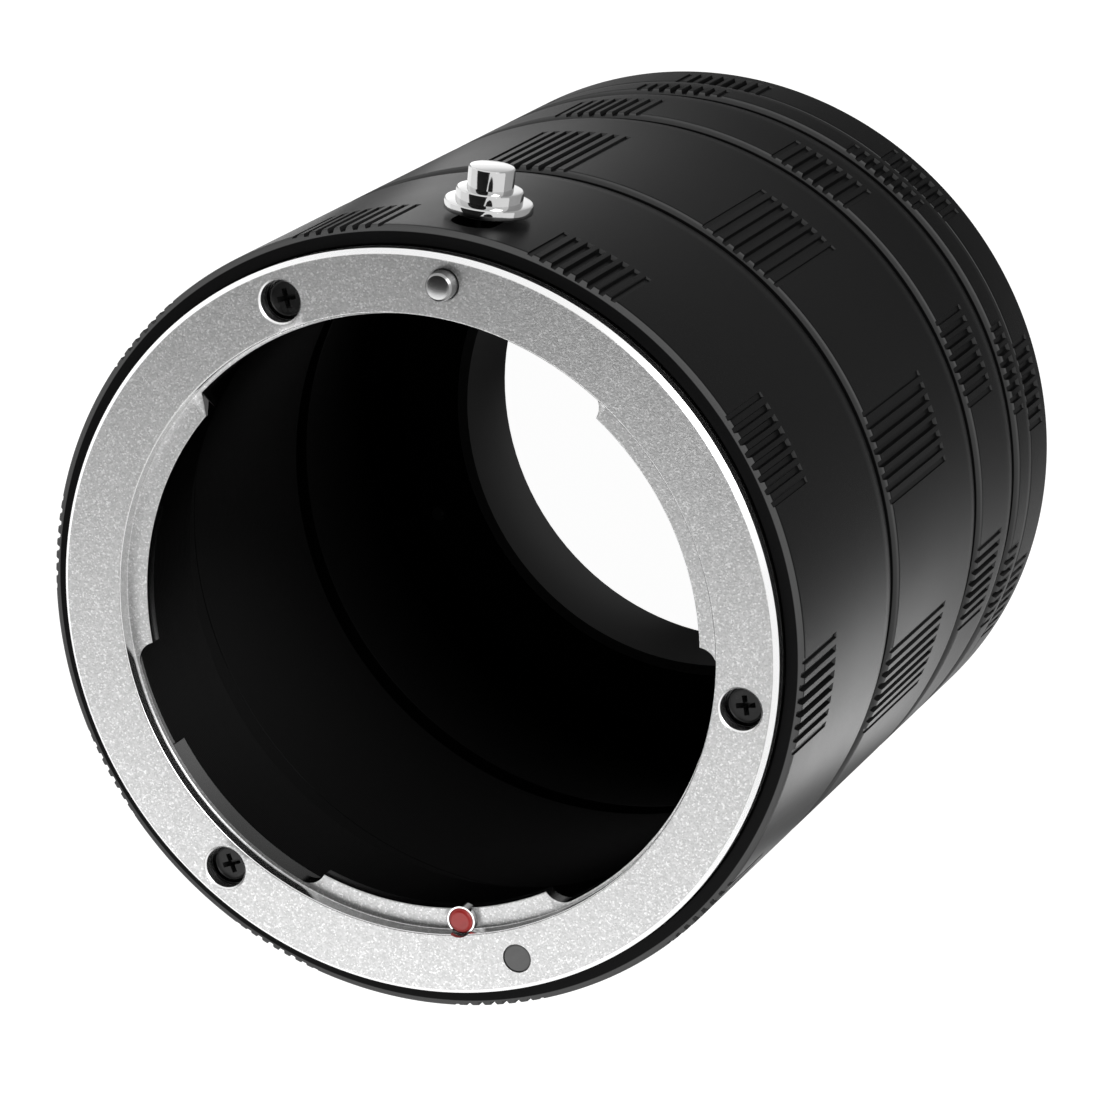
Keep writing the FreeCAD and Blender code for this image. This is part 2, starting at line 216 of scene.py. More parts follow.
def add_drill(bm, centre, radius, depth, axis=AXIS, segments=48, end_radius=None):
    turn = AXIS.rotation_difference(Vector(axis)).to_matrix().to_4x4()
    place = Matrix.Translation(centre) @ turn @ Matrix.Translation((0, 0, depth * MM / 2))
    end = radius if end_radius is None else end_radius
    return bmesh.ops.create_cone(bm, cap_ends=True, segments=segments, radius1=radius * MM,
                                 radius2=end * MM, depth=depth * MM, matrix=place)["verts"]


def add_box(bm, low, high, turn=0.0):
    size = Vector(high) - Vector(low)
    middle = (Vector(high) + Vector(low)) / 2
    place = (Matrix.Rotation(math.radians(turn), 4, "Z") @ Matrix.Translation(middle * MM)
             @ Matrix.Diagonal((*(size * MM), 1)))
    bmesh.ops.create_cube(bm, size=1, matrix=place)


def groove_cutters(z_front, length, turn):
    """Cuts for the whole rim: straight, parallel within a patch, to one common plane."""
    bm = bmesh.new()
    low, top = BODY_R - GROOVE_DEPTH, BODY_R + ABOVE
    half_low = GROOVE_FLOOR / 2
    half_top = half_low + (top - low) * math.tan(math.radians(GROOVE_SIDE_ANGLE))
    first = -(GROOVES_IN_PATCH - 1) * GROOVE_PITCH / 2
    for patch in range(PATCHES):
        rim = Matrix.Rotation(math.radians(turn + patch * 360 / PATCHES - 90), 4, "Z")
        for number in range(GROOVES_IN_PATCH):
            x = first + number * GROOVE_PITCH
            section = [(x - half_low, low), (x + half_low, low), (x + half_top, top),
                       (x - half_top, top)]
            verts = [bm.verts.new(rim @ metres(x, y, z_front - length)) for x, y in section]
            face = bm.faces.new(verts)
            grown = bmesh.ops.extrude_face_region(bm, geom=[face])["geom"]
            for vert in grown:
                if isinstance(vert, bmesh.types.BMVert):
                    vert.co.z += (length + BEYOND) * MM
    bmesh.ops.recalc_face_normals(bm, faces=bm.faces)
    return bm


def add_swept(bm, outline, start, sweep):
    """A closed outline of (radius, z) corners swept part of the way round the axis."""
    verts = [bm.verts.new(polar(r, start, z)) for r, z in outline]
    face = bm.faces.new(verts)
    bmesh.ops.spin(bm, geom=[face], cent=(0, 0, 0), axis=AXIS,
                   angle=math.radians(sweep), steps=max(8, int(sweep)))
    bmesh.ops.recalc_face_normals(bm, faces=list(bm.faces))


def box_outline(r_in, r_out, z_low, z_high):
    return [(r_in, z_low), (r_out, z_low), (r_out, z_high), (r_in, z_high)]


print("grooves round one rim:", PATCHES * GROOVES_IN_PATCH)

# %% [markdown]
# ## Fine surface effects as node groups
#
# Three effects come back in several finishes, so each is a shader node group that is built
# once. *Turning lines* are the fine rings that a lathe tool leaves. *Blasted grain* is the
# glitter of a bead-blasted face. *Handling* is the faint unevenness of a finish that has
# been touched. All of them read Object coordinates, which are metres here.

# %% A helper for node trees
def add_node(tree, kind, settings=None, **inputs):
    """A node with its properties set, and its input sockets set or linked by name."""
    node = tree.nodes.new(kind)
    for key, value in (settings or {}).items():
        setattr(node, key, value)
    for key, value in inputs.items():
        numbered = key[0] == "i" and key[1:].isdigit()
        socket = node.inputs[int(key[1:]) if numbered else key]
        if isinstance(value, bpy.types.NodeSocket):
            tree.links.new(value, socket)
        else:
            socket.default_value = value
    return node


def maths(tree, operation, a, b=0.0):
    return add_node(tree, "ShaderNodeMath", {"operation": operation}, i0=a, i1=b).outputs[0]


def ramp_between(tree, value, low, high, start=0.0, end=1.0):
    """Runs from start to end while the value runs from low to high, and stays there."""
    return add_node(tree, "ShaderNodeMapRange", Value=value, i1=low, i2=high, i3=start,
                    i4=end).outputs[0]


def blend(tree, share, first, second):
    """The first number where the share is 0, the second where it is 1."""
    return add_node(tree, "ShaderNodeMix", {"data_type": "FLOAT"}, i0=share, i2=first,
                    i3=second).outputs[0]


def blend_colours(tree, share, first, second):
    return add_node(tree, "ShaderNodeMix", {"data_type": "RGBA"}, i0=share, i6=first,
                    i7=second).outputs[2]


def grey_of(tree, level):
    """A neutral colour of that level."""
    return add_node(tree, "ShaderNodeCombineColor", i0=level, i1=level, i2=level).outputs[0]


def new_group(name, inputs, outputs):
    """An empty shader group, with the sockets outside and inside of its two ends."""
    tree = bpy.data.node_groups.new(name, "ShaderNodeTree")
    for label, kind, value in inputs:
        socket = tree.interface.new_socket(label, in_out="INPUT", socket_type=kind)
        if value is not None:
            socket.default_value = value
    for label, kind in outputs:
        tree.interface.new_socket(label, in_out="OUTPUT", socket_type=kind)
    start = tree.nodes.new("NodeGroupInput")
    end = tree.nodes.new("NodeGroupOutput")
    return tree, start.outputs, end.inputs


def radius_of(tree, vector):
    """Distance from the optical axis, in metres."""
    parts = add_node(tree, "ShaderNodeSeparateXYZ", i0=vector).outputs
    square = maths(tree, "ADD", maths(tree, "MULTIPLY", parts[0], parts[0]),
                   maths(tree, "MULTIPLY", parts[1], parts[1]))
    return maths(tree, "SQRT", square), parts[2]


# %% Turning lines
FLOAT = "NodeSocketFloat"
VECTOR = "NodeSocketVector"

turning, t_in, t_out = new_group(
    "turning_lines", [("Vector", VECTOR, None), ("Pitch", FLOAT, 0.0002), ("Waver", FLOAT, 0.6)],
    [("Height", FLOAT)])
t_radius, t_z = radius_of(turning, t_in["Vector"])
along = maths(turning, "DIVIDE", maths(turning, "ADD", t_radius, t_z), t_in["Pitch"])
even = maths(turning, "SINE", maths(turning, "MULTIPLY", along, math.tau))
uneven = add_node(turning, "ShaderNodeTexNoise", {"noise_dimensions": "1D"},
                  W=along, Scale=0.37, Detail=3.0).outputs[0]
turning.links.new(blend(turning, t_in["Waver"], even, uneven), t_out["Height"])
print("group", turning.name, "nodes", len(turning.nodes))

# %% Blasted grain
grain, g_in, g_out = new_group(
    "blasted_grain", [("Vector", VECTOR, None), ("Size", FLOAT, 0.00016)],
    [("Height", FLOAT), ("Glint", FLOAT)])
density = maths(grain, "DIVIDE", 1.0, g_in["Size"])
pits = add_node(grain, "ShaderNodeTexVoronoi", Vector=g_in["Vector"], Scale=density)
cloud = add_node(grain, "ShaderNodeTexNoise", Vector=g_in["Vector"],
                 Scale=maths(grain, "MULTIPLY", density, 0.7), Detail=2.0)
glint = add_node(grain, "ShaderNodeSeparateColor", i0=pits.outputs["Color"]).outputs[0]
grain.links.new(blend(grain, 0.5, glint, cloud.outputs[0]), g_out["Height"])
grain.links.new(glint, g_out["Glint"])
print("group", grain.name, "nodes", len(grain.nodes))

# %% Handling
handling, h_in, h_out = new_group(
    "handling", [("Vector", VECTOR, None), ("Size", FLOAT, 0.012)],
    [("Smear", FLOAT), ("Speck", FLOAT)])
h_scale = maths(handling, "DIVIDE", 1.0, h_in["Size"])
smear = add_node(handling, "ShaderNodeTexNoise", Vector=h_in["Vector"], Scale=h_scale,
                 Detail=4.0, Roughness=0.6).outputs[0]
specks = add_node(handling, "ShaderNodeTexVoronoi", Vector=h_in["Vector"],
                  Scale=maths(handling, "MULTIPLY", h_scale, 5.0)).outputs["Distance"]
handling.links.new(smear, h_out["Smear"])
handling.links.new(ramp_between(handling, specks, 0.035, 0.02), h_out["Speck"])
print("group", handling.name, "nodes", len(handling.nodes))

# %% [markdown]
# ## The black of the tubes
#
# The tubes are aluminium, blasted very fine and dyed black, so they look like soft black
# plastic: dark, with a broad sheen. A low refractive index keeps the sheen off the faces
# that look at the viewer and leaves it at the edges, where the picture shows it. Faces that
# look up at the outer edge of a rim are painted grey, a painted highlight. Inside, the black is
# darkened further, as painted shade, and shows the rings of the boring tool.

# %% Black anodised aluminium
def new_material(name):
    material = bpy.data.materials.new(name)
    material.use_nodes = True
    tree = material.node_tree
    shader = tree.nodes["Principled BSDF"]
    place = add_node(tree, "ShaderNodeTexCoord").outputs["Object"]
    return material, tree, shader, place


def use_group(tree, group, **inputs):
    node = tree.nodes.new("ShaderNodeGroup")
    node.node_tree = group
    for key, value in inputs.items():
        if isinstance(value, bpy.types.NodeSocket):
            tree.links.new(value, node.inputs[key])
        else:
            node.inputs[key].default_value = value
    return node.outputs


def spread(tree, value, low, high):
    """A value that ran from 0 to 1, brought to run from low to high."""
    return add_node(tree, "ShaderNodeMapRange", Value=value, i3=low, i4=high).outputs[0]


BARE_BLACK = (0.0055, 0.0055, 0.0056, 1)
TOUCHED_BLACK = (0.0085, 0.0085, 0.0087, 1)
# Painted shade: the bore is a darker black than the outside.
BORE_SHADE_BLACK = (0.0018, 0.0018, 0.0018, 1)
DUST = (0.12, 0.12, 0.12, 1)
RIM_HIGHLIGHT_GREY = (0.11, 0.11, 0.11, 1)
black, b_tree, b_shader, b_place = new_material("black_anodised_satin")
b_radius, b_z = radius_of(b_tree, b_place)
inside = ramp_between(b_tree, b_radius, 28.6 * MM, 28.3 * MM)
b_touch = use_group(b_tree, handling, Vector=b_place)
b_lines = use_group(b_tree, turning, Vector=b_place, Pitch=0.22 * MM)["Height"]
b_grain = use_group(b_tree, grain, Vector=b_place, Size=0.09 * MM)["Height"]
outer_tone = blend_colours(b_tree, b_touch["Smear"], BARE_BLACK, TOUCHED_BLACK)
dusty = blend_colours(b_tree, maths(b_tree, "MULTIPLY", b_touch["Speck"], 0.25), outer_tone, DUST)
facing_up = add_node(b_tree, "ShaderNodeSeparateXYZ",
                     i0=add_node(b_tree, "ShaderNodeNewGeometry").outputs["Normal"]).outputs[2]
# Painted highlight: faces that look upwards at a rim's outer edge are painted lighter grey.
rim_highlight_mask = maths(b_tree, "MULTIPLY", ramp_between(b_tree, facing_up, 0.15, 0.5),
                 ramp_between(b_tree, b_radius, 29.5 * MM, 29.56 * MM))
with_rim_highlight = blend_colours(b_tree, rim_highlight_mask, dusty, RIM_HIGHLIGHT_GREY)
b_tree.links.new(blend_colours(b_tree, inside, with_rim_highlight, BORE_SHADE_BLACK), b_shader.inputs["Base Color"])
b_sheen = blend(b_tree, inside, spread(b_tree, b_touch["Smear"], 0.25, 0.35), 0.2)
b_tree.links.new(b_sheen, b_shader.inputs["Roughness"])
relief = blend(b_tree, inside, b_grain, b_lines)
b_bump = add_node(b_tree, "ShaderNodeBump", Strength=0.25, Distance=0.00003, Height=relief)
b_tree.links.new(b_bump.outputs[0], b_shader.inputs["Normal"])
b_shader.inputs["IOR"].default_value = 1.1
print("material", black.name)

# %% [markdown]
# ## The five black sections
#
# Each outline goes once round the wall: socket at the rear, bore, spigot in front, barrel,
# and the rounded rear shoulder. The fine screw thread is cut as plain rings, because its
# slope is too small to see. It only reaches inwards on a spigot and outwards in a socket,
# so two sections still fit as the solids do.

# %% Threads as rings
THREAD_PITCH = 0.6
THREAD_DEPTH = 0.2


def thread(radius, z_from, z_to, into):
    """Corners that zigzag between the thread's crest and its root."""
    count = int(abs(z_to - z_from) / THREAD_PITCH)
    step = (z_to - z_from) / count
    corners = []
    for ring in range(count):
        corners.append((radius, z_from + ring * step))
        corners.append((radius + into * THREAD_DEPTH, z_from + (ring + 0.5) * step))
    return corners + [(radius, z_to)]


def tube_outline(z_rear, z_front, relief_len, groove_len, rear_corners):
    """Socket, bore, spigot and barrel of a section that screws in at both ends.

    One more ring of points just behind the grooves keeps their ends out of the shading.
    """
    socket_top = z_rear + SPIGOT + relief_len
    outline = thread(THREAD_HOLE_R, z_rear, z_rear + 3.0, 1)
    outline += [(THREAD_HOLE_R, socket_top), (BORE_R, socket_top), (BORE_R, z_front + SPIGOT)]
    outline += thread(THREAD_R, z_front + SPIGOT, z_front + 0.8, -1)
    outline += [(THREAD_R, z_front), (BODY_R, z_front), (BODY_R, z_front - groove_len - 0.06)]
    return outline + rear_corners


print("thread rings on a spigot", int(SPIGOT / THREAD_PITCH))

# %% Long and short tube
RIM_BREAK = 0.3
RELIEF = 0.1
LONG_TUBE_RELIEF = 2.0


def grooved_tube(name, body, z_front, relief_len, groove_len, turn):
    z_rear = SECTION_Z[name]
    bm = turned(tube_outline(z_rear, z_front, relief_len, groove_len, shoulder(z_rear)),
                breaks=[(BODY_R, z_front, RIM_BREAK), (BORE_R, z_front + SPIGOT, 0.12)])
    tube = new_object(name + "_finished", bm)
    cut(tube, groove_cutters(z_front, groove_len, turn))
    finish_piece(tube, body, black, "black_anodised", name)


grooved_tube("long_tube", "long_section", SECTION_Z["lens_side_barrel"], LONG_TUBE_RELIEF,
             13.6, 23.0)
grooved_tube("short_tube", "short_section", SECTION_Z["long_tube"], RELIEF, 6.1, 27.3)

# %% Adapter ring
ADAPTER_Z = SECTION_Z["adapter_ring"]
SHORT_Z = SECTION_Z["short_tube"]
ADAPTER_SOCKET = 2.45
ADAPTER_RELIEF_R = 27.7
RELIEF_LOW, RELIEF_TOP = ADAPTER_Z + 2.9, ADAPTER_Z + 4.4
adapter_outline = thread(THREAD_HOLE_R, ADAPTER_Z, ADAPTER_Z + 2.2, 1)
adapter_outline += [(THREAD_HOLE_R, ADAPTER_Z + ADAPTER_SOCKET)]
adapter_outline += [(BORE_R, ADAPTER_Z + ADAPTER_SOCKET)]
adapter_outline += [(BORE_R, RELIEF_LOW), (ADAPTER_RELIEF_R, RELIEF_LOW)]
adapter_outline += [(ADAPTER_RELIEF_R, RELIEF_TOP), (BORE_R, RELIEF_TOP)]
adapter_outline += [(BORE_R, SHORT_Z + SPIGOT)]
adapter_outline += thread(THREAD_R, SHORT_Z + SPIGOT, SHORT_Z + 0.8, -1)
adapter_outline += [(THREAD_R, SHORT_Z), (BODY_R, SHORT_Z), (BODY_R, SHORT_Z - 2.46)]
adapter_outline += [(BODY_R, ADAPTER_Z)]
adapter = new_object("adapter_ring_finished",
                     turned(adapter_outline, breaks=[(BODY_R, SHORT_Z, RIM_BREAK),
                                                     (BODY_R, ADAPTER_Z, 0.15)]))
cut(adapter, groove_cutters(SHORT_Z, 2.4, 21.3))
finish_piece(adapter, "adapter", black, "black_anodised", "adapter_ring")

# %% Camera-side barrel
PLATE_R = 28.5
PLATE_GAP = 0.1
PLATE_TOP = 7.5
FLOOR_TOP = 8.6
SPIGOT_R = 21.9
SCREW_CIRCLE_R = 25.9
PLATE_SCREW_TURNS = (27.0, 117.0, 207.0, 297.0)
CAMERA_Z = SECTION_Z["camera_side_barrel"]
camera_outline = [(PLATE_R + PLATE_GAP, CAMERA_Z), (PLATE_R + PLATE_GAP, PLATE_TOP)]
camera_outline += [(SPIGOT_R + PLATE_GAP, PLATE_TOP), (SPIGOT_R + PLATE_GAP, FLOOR_TOP)]
camera_outline += [(BORE_R, FLOOR_TOP), (BORE_R, ADAPTER_Z + 2.4)]
camera_outline += thread(THREAD_R, ADAPTER_Z + 2.4, ADAPTER_Z + 0.5, -1)
camera_outline += [(THREAD_R, ADAPTER_Z), (BODY_R, ADAPTER_Z), (BODY_R, ADAPTER_Z - 3.66)]
camera_outline += [(BODY_R, CAMERA_Z + 0.4), (BODY_R - 0.4, CAMERA_Z)]
barrel = new_object("camera_side_barrel_finished",
                    turned(camera_outline, breaks=[(BODY_R, ADAPTER_Z, RIM_BREAK)]))
cut(barrel, groove_cutters(ADAPTER_Z, 3.6, 17.1))
holes = bmesh.new()
for turn in PLATE_SCREW_TURNS:
    add_drill(holes, polar(SCREW_CIRCLE_R, turn, PLATE_TOP - 1), 0.63, 3)
cut(barrel, holes)
finish_piece(barrel, "camera_side", black, "black_anodised", "camera_side_barrel")

# %% [markdown]
# ## The lens-side barrel
#
# This section also holds the bayonet ring in a seat, and the lens lock in a milled pocket.
# The stud comes out through a slot, which is a drill hole pulled long.

# %% Lens-side barrel
LENS_Z = SECTION_Z["lens_side_barrel"]
LENS_BORE_R = 25.0
LENS_STEP_Z = 55.6
LENS_RIM_BREAK = 0.34
SEAT_R = 28.56
PIN_TURN = 87.9
SLOT_LOW, SLOT_HIGH, SLOT_R = 61.4, 65.3, 1.7
POCKET = ((-3.3, 25.25, 56.8), (3.3, 28.25, SHELF_Z + 1))
RING_SCREW_TURNS = (-3.3, 117.1, 237.1)
lens_outline = thread(THREAD_HOLE_R, LENS_Z, LENS_Z + 3.0, 1)
lens_outline += [(THREAD_HOLE_R, LENS_Z + SPIGOT + RELIEF), (BORE_R, LENS_Z + SPIGOT + RELIEF)]
lens_outline += [(BORE_R, LENS_STEP_Z), (LENS_BORE_R, LENS_STEP_Z), (LENS_BORE_R, SHELF_Z)]
lens_outline += [(SEAT_R, SHELF_Z), (SEAT_R, RIM_Z), (BODY_R, RIM_Z), (BODY_R, RIM_Z - 7.36)]
lens_outline += shoulder(LENS_Z)
lens_barrel = new_object("lens_side_barrel_finished",
                         turned(lens_outline, breaks=[(BODY_R, RIM_Z, LENS_RIM_BREAK),
                                                      (SEAT_R, RIM_Z, 0.15)]))
cut(lens_barrel, groove_cutters(RIM_Z, 7.3, -2.0))
lock_cutters = bmesh.new()
add_box(lock_cutters, *POCKET, turn=PIN_TURN - 90)
cut(lens_barrel, lock_cutters)
slot_cutter = bmesh.new()
slot_verts = add_drill(slot_cutter, polar(26.75, PIN_TURN, SLOT_LOW), SLOT_R, 5,
                       axis=polar(1, PIN_TURN) / MM)
middle_z = SLOT_LOW * MM
for vert in slot_verts:
    if vert.co.z > middle_z:
        vert.co.z += (SLOT_HIGH - SLOT_LOW) * MM
cut(lens_barrel, slot_cutter)
tapped = bmesh.new()
for turn in RING_SCREW_TURNS:
    add_drill(tapped, polar(SCREW_CIRCLE_R, turn, 61.9), 0.63, 6)
cut(lens_barrel, tapped)
finish_piece(lens_barrel, "lens_side", black, "black_anodised", "lens_side_barrel")

# %% [markdown]
# ## Silver finishes
#
# The bayonet ring is blasted with fine beads on its face, which glitters, and is bright
# where a cutter went over it last: the rim, the throat and the tabs. Below the tab tops its
# walls are painted dark, as painted shade, and its brightest beads carry a painted glint. The
# camera-side plate is plainer satin steel, blackened inside its bore so that no light bounces
# there. The pin and the stud are polished and plated; the pin has a darker copy of the chrome,
# as painted shade.

# %% Blasted ring
ring_metal, r_tree, r_shader, r_place = new_material("blasted_ring_steel")
r_radius, r_z = radius_of(r_tree, r_place)
TAB_TOP = FACE_Z - 1.2


def level_mask(tree, z, height):
    """One on the flat faces at that height, nothing from 0.05 mm above or below them."""
    off = maths(tree, "ABSOLUTE", maths(tree, "SUBTRACT", z, height * MM))
    return ramp_between(tree, off, 0.05 * MM, 0.02 * MM)


on_face = maths(r_tree, "MAXIMUM", level_mask(r_tree, r_z, FACE_Z),
                level_mask(r_tree, r_z, TAB_TOP))
r_grain = use_group(r_tree, grain, Vector=r_place, Size=0.00012)
r_touch = use_group(r_tree, handling, Vector=r_place, Size=0.02)
# Painted glint: the brightest grains of the blast are lifted in colour.
painted_glint = ramp_between(r_tree, r_grain["Glint"], 0.8, 0.97, 0.0, 0.12)
speckle = maths(r_tree, "ADD", spread(r_tree, r_grain["Glint"], 0.39, 0.53), painted_glint)
clouded = maths(r_tree, "MULTIPLY", speckle, spread(r_tree, r_touch["Smear"], 0.93, 1.07))
# Painted shade: walls below the tab tops are dark; above them the cut metal is bright.
cut_tone_with_painted_shade = ramp_between(r_tree, r_z, (TAB_TOP - 0.1) * MM, (TAB_TOP - 0.05) * MM, 0.2, 0.92)
ring_grey = grey_of(r_tree, blend(r_tree, on_face, cut_tone_with_painted_shade, clouded))
r_tree.links.new(ring_grey, r_shader.inputs["Base Color"])
r_tree.links.new(blend(r_tree, on_face, 0.24, 0.36), r_shader.inputs["Roughness"])
r_bump = add_node(r_tree, "ShaderNodeBump", Distance=0.00004, Height=r_grain["Height"],
                  Strength=maths(r_tree, "MULTIPLY", on_face, 0.3))
r_tree.links.new(r_bump.outputs[0], r_shader.inputs["Normal"])
r_shader.inputs["Metallic"].default_value = 1.0
print("material", ring_metal.name)


# %% Satin steel, chrome and spring steel
def metal(name, low, high, rough_low, rough_high, smear_size, line_pitch=0.0003, relief=0.1):
    """Bare metal: tone and roughness wander a little, over faint tool lines."""
    material, tree, shader, place = new_material(name)
    touch = use_group(tree, handling, Vector=place, Size=smear_size)["Smear"]
    marks = use_group(tree, turning, Vector=place, Pitch=line_pitch)["Height"]
    tone = grey_of(tree, spread(tree, touch, low, high))
    tree.links.new(tone, shader.inputs["Base Color"])
    tree.links.new(spread(tree, touch, rough_low, rough_high), shader.inputs["Roughness"])
    bump = add_node(tree, "ShaderNodeBump", Strength=relief, Distance=0.00001, Height=marks)
    tree.links.new(bump.outputs[0], shader.inputs["Normal"])
    shader.inputs["Metallic"].default_value = 1.0
    return material, tree, shader, place


chrome = metal("plated_chrome", 0.6, 0.7, 0.05, 0.12, 0.003, relief=0.02)[0]
# Painted shade: the pin gets a darker copy of the plated chrome.
pin_chrome_painted_shade = metal("chrome_with_painted_shade", 0.26, 0.36, 0.18, 0.28, 0.002, relief=0.02)[0]
spring_metal = metal("spring_steel", 0.4, 0.5, 0.25, 0.4, 0.004)[0]
carriage_metal = metal("milled_steel", 0.42, 0.52, 0.3, 0.42, 0.004)[0]
plate_metal, p_tree, p_shader, p_place = metal("satin_plate_steel", 0.55, 0.64, 0.28, 0.4, 0.01)
print("materials", chrome.name, spring_metal.name, carriage_metal.name, plate_metal.name)

# %% Blackened bore of the plate
p_radius, p_z = radius_of(p_tree, p_place)
in_bore = ramp_between(p_tree, p_radius, 21.25 * MM, 21.15 * MM)
inner_end = ramp_between(p_tree, p_z, (FLOOR_TOP - 0.1) * MM, (FLOOR_TOP - 0.05) * MM)
blackened = maths(p_tree, "MAXIMUM", in_bore, inner_end)
plate_tone = p_shader.inputs["Base Color"].links[0].from_socket
p_tree.links.new(blend_colours(p_tree, blackened, plate_tone, (0.014, 0.014, 0.014, 1)),
                 p_shader.inputs["Base Color"])
p_shader.inputs["IOR"].default_value = 1.5
p_tree.links.new(maths(p_tree, "SUBTRACT", 1.0, blackened), p_shader.inputs["Metallic"])
print("the plate is black inside a radius of 21.2 mm")


# %% [markdown]
# ## The bayonet ring
#
# The ring is turned with a whole flange inside its throat. An end mill then takes that
# flange away in three places, and what it leaves are the tabs that hold the lens. The mill
# is round, so each gap ends in its own radius. Holes for screws, pin and dots come last.

# %% Ring, tabs and holes
RING_R = 28.5
THROAT_R = 23.5
THROAT_STEP = 0.25
CHAMFER_WIDE, CHAMFER_DEEP = 0.38, 0.42
TAB_R = 22.1
TAB_LOW = TAB_TOP - 1.25
MILL_R = 1.5
TAB_SPANS = ((5.8, 54.4), (141.0, 194.1), (253.2, 301.3))
SQUARE_TAB = 1
SQUARE_SKEW = 2.9
PIN_R, PIN_CIRCLE_R = 1.1, 26.35
SCREW_SEAT_Z = FACE_Z - 2.0
RED_CIRCLE_R, RED_TURN = 22.9, -77.2
DARK_CIRCLE_R, DARK_TURN = 26.1, -67.5
DOT_R = 1.1

ring_outline = [(THROAT_R, SHELF_Z), (THROAT_R, TAB_LOW), (TAB_R, TAB_LOW), (TAB_R, TAB_TOP)]
ring_outline += [(THROAT_R + THROAT_STEP, TAB_TOP), (THROAT_R + THROAT_STEP, FACE_Z)]
ring_outline += [(RING_R - CHAMFER_WIDE, FACE_Z), (RING_R, FACE_Z - CHAMFER_DEEP)]
ring_outline += [(RING_R, SHELF_Z)]
ring = new_object("lens_mount_ring_finished",
                  turned(ring_outline, breaks=[(TAB_R, TAB_TOP, 0.08), (TAB_R, TAB_LOW, 0.08),
                                               (THROAT_R + THROAT_STEP, TAB_TOP, 0.08),
                                               (THROAT_R + THROAT_STEP, FACE_Z, 0.14)]))
lead = math.degrees(MILL_R / (THROAT_R - MILL_R))
for number, span in enumerate(TAB_SPANS):
    following = (number + 1) % 3
    start = span[1] + lead
    ends = [start]
    stop = TAB_SPANS[following][0]
    if following != SQUARE_TAB:
        stop -= lead
        ends.append(stop)
    gap = bmesh.new()
    add_swept(gap, box_outline(TAB_R - 1, THROAT_R - 0.002, TAB_LOW - 0.05, TAB_TOP + 0.05),
              start, (stop - start) % 360)
    cut(ring, gap)
    for turn in ends:
        mill = bmesh.new()
        add_drill(mill, polar(THROAT_R - MILL_R - 0.002, turn, TAB_LOW - 0.05), MILL_R, 1.35)
        cut(ring, mill)
square_turn = TAB_SPANS[SQUARE_TAB][0]
root = polar(THROAT_R - 0.002, square_turn, TAB_LOW - 0.05)
corner = polar(TAB_R, square_turn + SQUARE_SKEW, TAB_LOW - 0.05)
inner = polar(TAB_R - 1, square_turn, TAB_LOW - 0.05)
wedge = bmesh.new()
wedge_face = wedge.faces.new([wedge.verts.new(place)
                              for place in (root, root + (corner - root) * 1.5, inner)])
for item in bmesh.ops.extrude_face_region(wedge, geom=[wedge_face])["geom"]:
    if isinstance(item, bmesh.types.BMVert):
        item.co.z = (TAB_TOP + 0.05) * MM
bmesh.ops.recalc_face_normals(wedge, faces=wedge.faces)
cut(ring, wedge)
slope = bmesh.new()
add_swept(slope, [(TAB_R - 0.5, TAB_LOW - 0.05), (TAB_R + 1.27, TAB_LOW - 0.05),
                  (TAB_R, TAB_TOP - 0.35), (TAB_R - 0.5, TAB_TOP - 0.35)], 140.5, 26.4)
cut(ring, slope)
undercut = bmesh.new()
add_swept(undercut, box_outline(THROAT_R - 0.5, THROAT_R + 0.9, SHELF_Z - 0.1, FACE_Z - 1.35),
          194.6, 19.8)
cut(ring, undercut)
drills = bmesh.new()
for turn in RING_SCREW_TURNS:
    add_drill(drills, polar(SCREW_CIRCLE_R, turn, SCREW_SEAT_Z), 1.6, 3)
add_drill(drills, polar(PIN_CIRCLE_R, PIN_TURN, SHELF_Z - 1), PIN_R + 0.06, 6)
add_drill(drills, polar(RED_CIRCLE_R, RED_TURN, TAB_TOP - 0.5), DOT_R + 0.02, 3)
add_drill(drills, polar(DARK_CIRCLE_R, DARK_TURN, FACE_Z - 1.2), DOT_R + 0.02, 3)
cut(ring, drills)
countersinks = bmesh.new()
for turn in RING_SCREW_TURNS:
    add_drill(countersinks, polar(SCREW_CIRCLE_R, turn, FACE_Z - 0.15), 1.6, 0.2, end_radius=1.8)
add_drill(countersinks, polar(PIN_CIRCLE_R, PIN_TURN, FACE_Z - 0.1), PIN_R + 0.06, 0.2,
          end_radius=PIN_R + 0.26)
cut(ring, countersinks)
shanks = bmesh.new()
for turn in RING_SCREW_TURNS:
    add_drill(shanks, polar(SCREW_CIRCLE_R, turn, SHELF_Z - 1), 0.63, 3)
cut(ring, shanks)
finish_piece(ring, "lens_side", ring_metal, "blasted_steel", "lens_mount_ring")

# %% [markdown]
# ## Screws
#
# The heads are low cylinders with a broken edge and a cross recess. The recess of a real
# screwdriver bit tapers, so its cutter is a thin box whose lower end is pulled narrow.

# %% Blackened screws
screw_black, s_tree, s_shader, s_place = new_material("black_oxide_screw")
s_touch = use_group(s_tree, handling, Vector=s_place, Size=0.0012)
s_tone = blend_colours(s_tree, s_touch["Smear"], (0.008, 0.008, 0.008, 1), (0.03, 0.03, 0.03, 1))
s_tree.links.new(s_tone, s_shader.inputs["Base Color"])
s_tree.links.new(spread(s_tree, s_touch["Smear"], 0.16, 0.34), s_shader.inputs["Roughness"])
s_shader.inputs["Metallic"].default_value = 0.5
s_shader.inputs["IOR"].default_value = 1.3
print("material", screw_black.name)

# %% Cross-head screws
HEAD_R, HEAD_H, SHANK_R = 1.45, 0.8, 0.6


